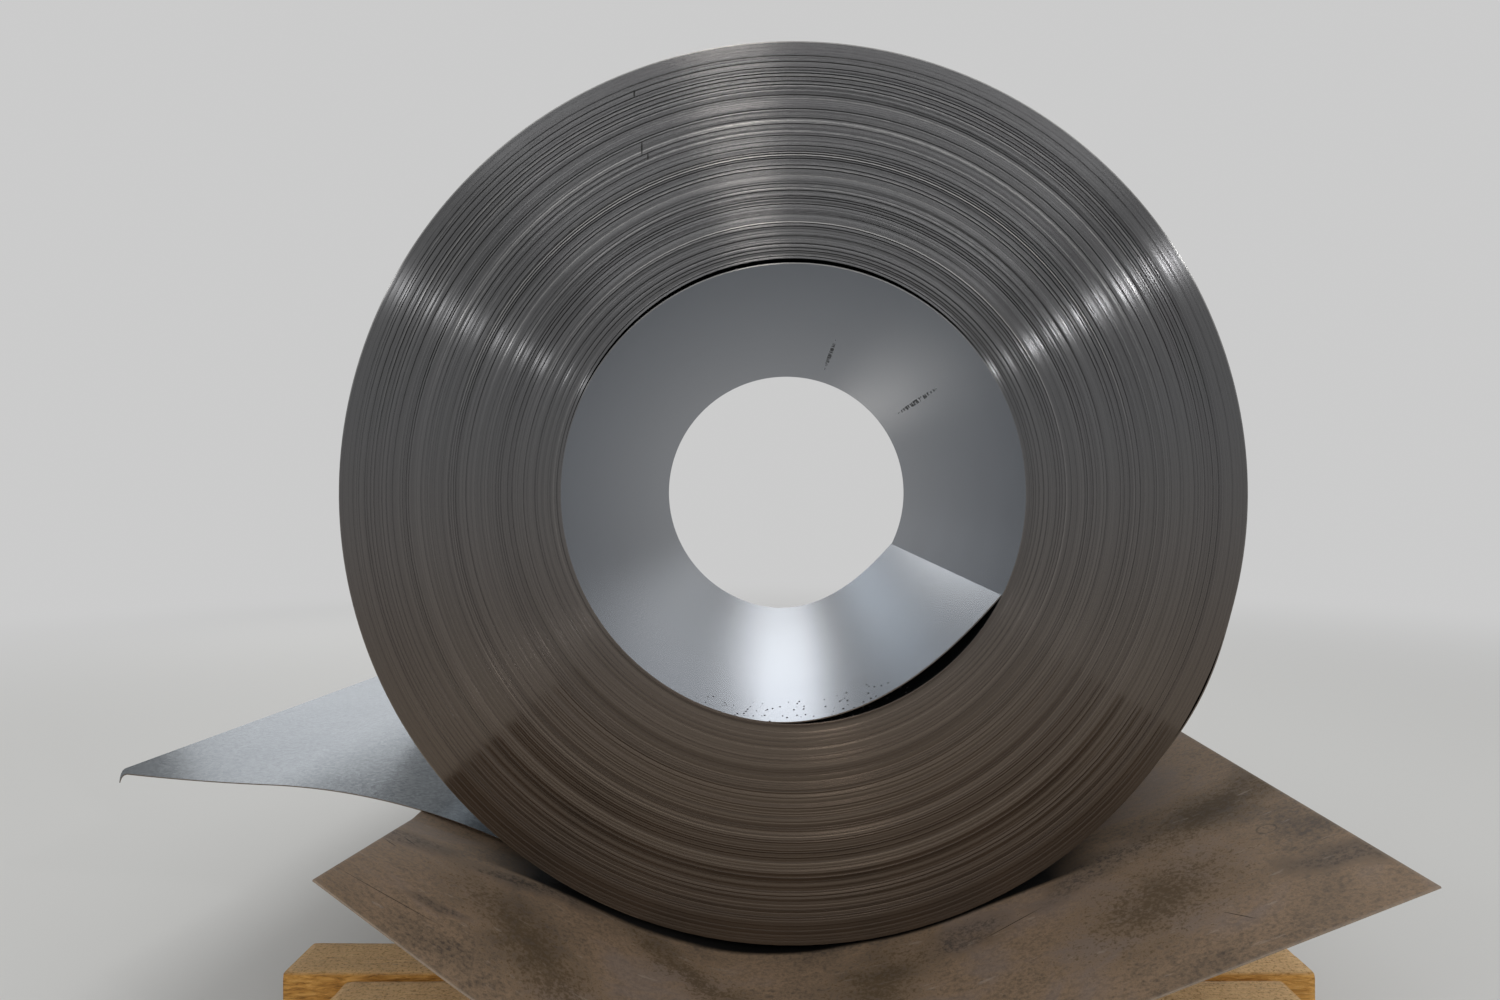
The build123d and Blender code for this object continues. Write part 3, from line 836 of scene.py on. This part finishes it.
def timber_piece(name, node, along, finish):
    """A sawn timber that fills a node's box, with its length along axis 0, x, or 1, y.

    Each side is a grid over two of the box's directions. A point nearer to an edge than the
    arris radius is drawn in to a circle of that radius about the arris, and the radius wanders
    along the timber, by itself at each of the four long edges.
    """
    low, high = (np.array(corner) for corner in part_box(node))
    centre, half = (low + high) / 2, (high - low) / 2
    steps = [timber_side_steps] * 3
    steps[along] = timber_length_steps
    lines = [np.linspace(-1, 1, count + 1) for count in steps]
    knots = worn_arris + arris_wander * chance.uniform(-1, 1, (4, arris_knots))
    points, faces, start = [], [], 0
    for normal in range(3):
        first, second = (normal + 1) % 3, (normal + 2) % 3
        for side in (-1, 1):
            grid = np.empty((steps[second] + 1, steps[first] + 1, 3))
            grid[..., normal] = side
            grid[..., first] = lines[first][None, :]
            grid[..., second] = lines[second][:, None]
            points.append(grid.reshape(-1, 3))
            faces.append(quads(steps[first] + 1, steps[second] + 1, start, flip=side < 0))
            start += len(points[-1])
    place = np.concatenate(points) * half
    across_x, across_z = [axis for axis in range(3) if axis != along]
    edge = 2 * (place[:, across_x] > 0) + (place[:, across_z] > 0)
    at_knot = (place[:, along] / half[along] + 1) * (arris_knots - 1) / 2
    radius = np.choose(edge, [np.interp(at_knot, np.arange(arris_knots), knot) for knot in knots])
    core = np.clip(place, radius[:, None] - half, half - radius[:, None])
    off = place - core
    length = np.linalg.norm(off, axis=1, keepdims=True)
    outwards = np.divide(off, length, out=np.zeros_like(off), where=length > 0)
    place = core + outwards * np.minimum(length, radius[:, None])
    faces = np.concatenate(faces)
    piece = mesh_piece(name, centre + place, faces, [finish], np.zeros(len(faces)))
    shell = bmesh.new()
    shell.from_mesh(piece.data)
    bmesh.ops.remove_doubles(shell, verts=shell.verts, dist=0.01 * mm)
    shell.to_mesh(piece.data)
    shell.free()
    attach(piece, "root")
    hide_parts(node)


rail_spruce, cross_spruce = softwood_finish(1), softwood_finish(0)
for side in ("left", "right"):
    timber_piece(f"sawn_rail_{side}", f"rail_{side}", 1, rail_spruce)
for number in range(1, 5):
    timber_piece(f"sawn_cross_timber_{number}", f"cross_timber_{number}", 0, cross_spruce)

# Studio: a plain pale floor that fades into an even pale backdrop, small lamps in front for
# the streaks on the coil's end, and soft boxes above and behind for its bore and tail.
floor_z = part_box("cross_timber_1")[0].z
floor_reach = 60
fade_start, fade_end = 2.4, 7
backdrop_grey = (0.6, 0.6, 0.6, 1)
floor_mesh = bpy.data.meshes.new("studio_floor")
corners = [(-1, -1), (1, -1), (1, 1), (-1, 1)]
corners = [(x * floor_reach, y * floor_reach, floor_z) for x, y in corners]
floor_mesh.from_pydata(corners, [], [(0, 1, 2, 3)])
studio_floor = bpy.data.objects.new("studio_floor", floor_mesh)
bpy.context.scene.collection.objects.link(studio_floor)
pale, tree = new_finish("pale_floor")
place = add_node(tree, "TexCoord").outputs["Object"]
distance = add_node(tree, "VectorMath", {"operation": "LENGTH"}, {0: place})
fading = {"interpolation_type": "SMOOTHSTEP", "From Min": fade_start, "From Max": fade_end}
fade = add_node(tree, "MapRange", fading, {0: distance})
matt = add_node(tree, "BsdfDiffuse", {"Color": linear("dcdcda")})
even = add_node(tree, "Emission", {"Color": backdrop_grey, "Strength": 1.0})
surface = add_node(tree, "MixShader", links={0: fade, 1: matt, 2: even})
add_node(tree, "OutputMaterial", links={0: surface})
floor_mesh.materials.append(pale)

world = bpy.data.worlds.new("studio")
bpy.context.scene.world = world
world.use_nodes = True
world.node_tree.nodes["Background"].inputs["Color"].default_value = backdrop_grey
world.node_tree.nodes["Background"].inputs["Strength"].default_value = 1.0


def soft_lamp(name, place, target, width, height, glow, tint=(1, 1, 1), roll=0):
    """A soft box that looks at a point, with the brightness that its face shows."""
    lamp = bpy.data.lights.new(name, "AREA")
    lamp.shape, lamp.size, lamp.size_y = "RECTANGLE", width, height
    lamp.energy = glow * pi * width * height
    lamp.color = tint
    holder = bpy.data.objects.new(name, lamp)
    bpy.context.scene.collection.objects.link(holder)
    holder.visible_camera = False
    holder.location = place
    holder.rotation_euler = (Vector(target) - Vector(place)).to_track_quat("-Z", "Y").to_euler()
    holder.rotation_euler.rotate_axis("Z", roll)


soft_lamp("lamp_left", (-3.0, -4.5, 1.6), (0, -0.6, 0), 0.13, 0.13, 100)
soft_lamp("lamp_right", (3.2, -4.5, 1.92), (0, -0.6, 0), 0.13, 0.13, 270)
soft_lamp("lamp_front", (-0.2, -3.8, 1.6), (0, -0.6, 0.4), 0.3, 0.5, 7, (1, 0.94, 0.87))
soft_lamp("lamp_front_wide", (0.1, -3.8, 1.6), (0, -0.6, 0.4), 3.2, 0.5, 1.7)
soft_lamp("lamp_top", (0, 0.2, 3.6), (0, 0, 0), 2.4, 2.4, 1.5)
soft_lamp("lamp_back", (0, 4.6, 1.0), (0, 0, 0), 0.56, 1.1, 5.2)
soft_lamp("lamp_back_left", (-0.5, 4.6, 0.57), (0, 0, 0), 0.12, 0.6, 5, (0.8, 0.9, 1), radians(-41))
soft_lamp("lamp_back_right", (0.62, 4.6, 0.85), (0, 0, 0), 0.45, 1.0, 1.5)
soft_lamp("lamp_back_low", (-0.27, 4.6, -0.33), (0, 0, 0), 0.25, 0.2, 1.8, (1, 0.95, 0.88))
soft_lamp("lamp_tail", (-2.9, 4.6, 0.95), (-0.6, 0, -0.4), 1.6, 1.0, 2.4)

# Camera: level and square to the coil's end. Its frame is shifted so that its axis meets the
# photograph's pixel of the point that it looks at.
photo_width, photo_height = 1500, 1000
axis_column, axis_row = 779, 491.8
camera_data = bpy.data.cameras.new("camera")
camera_data.sensor_width = 36
camera_data.lens = 23.18
camera_data.shift_x = (photo_width / 2 - axis_column) / photo_width
camera_data.shift_y = (axis_row - photo_height / 2) / photo_width
camera = bpy.data.objects.new("camera", camera_data)
bpy.context.scene.collection.objects.link(camera)
camera.location = (-18.5 * mm, -1896 * mm, 2.3 * mm)
camera.rotation_euler = (pi / 2, 0, 0)
bpy.context.scene.camera = camera
bpy.context.scene.view_settings.view_transform = "Standard"
